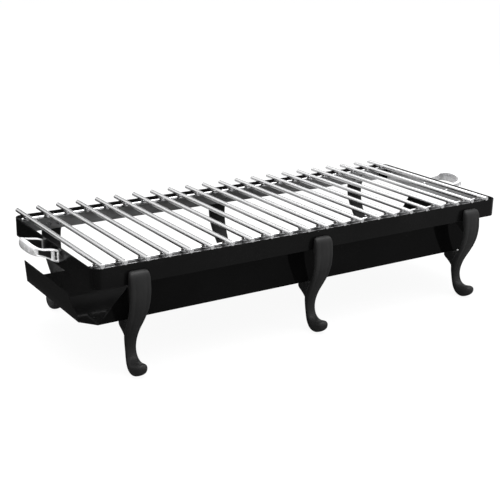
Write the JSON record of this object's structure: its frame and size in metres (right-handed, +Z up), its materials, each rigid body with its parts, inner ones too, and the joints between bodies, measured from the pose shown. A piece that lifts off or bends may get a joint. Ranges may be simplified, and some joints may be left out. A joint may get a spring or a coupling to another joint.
{
  "type": "tabletop charbroiler grill",
  "caption": "Low rectangular buffet grill: black steel frame on cabriole legs, loose chromed rod grate on top, slide-out fuel shelf beneath, and a bow handle at each end.",
  "frame": {"origin": "on the table surface, under the centre of the frame", "axes": "+X along the length towards the right end, +Y from the front skirt side to the rear, +Z up"},
  "size_m": [0.848, 0.3428, 0.176],
  "materials": {
    "black_enamel": "semi-gloss black enamel on sheet steel",
    "shelf_enamel": "gloss black enamel on folded sheet steel",
    "leg_iron": "satin black powder coat on cast iron",
    "lining_steel": "brushed stainless sheet",
    "grate_chrome": "bright chromed round bar",
    "handle_steel": "polished stainless casting",
    "screw_steel": "bright zinc-plated steel"
  },
  "bodies": {
    "frame": {"frame_band": "black_enamel", "support_rail_front": "lining_steel", "support_rail_rear": "lining_steel", "end_lining_left": "lining_steel", "end_lining_right": "lining_steel", "leg_front_left": "leg_iron", "leg_front_middle": "leg_iron", "leg_front_right": "leg_iron", "leg_rear_left": "leg_iron", "leg_rear_middle": "leg_iron", "leg_rear_right": "leg_iron", "leg_screws": "screw_steel", "handle_left": "handle_steel", "handle_right": "handle_steel", "handle_screws": "screw_steel"},
    "grate": {"grate_rods": "grate_chrome", "grate_wire_front": "grate_chrome", "grate_wire_rear": "grate_chrome"},
    "shelf": {"fuel_shelf": "shelf_enamel"}
  },
  "joints": [
    {"name": "grate_lift", "type": "slide", "parent": "frame", "child": "grate", "axis": [0, 0, 1], "range_m": [0, 0.1]},
    {"name": "shelf_slide", "type": "slide", "parent": "frame", "child": "shelf", "axis": [1, 0, 0], "range_m": [-0.3, 0.3]}
  ]
}
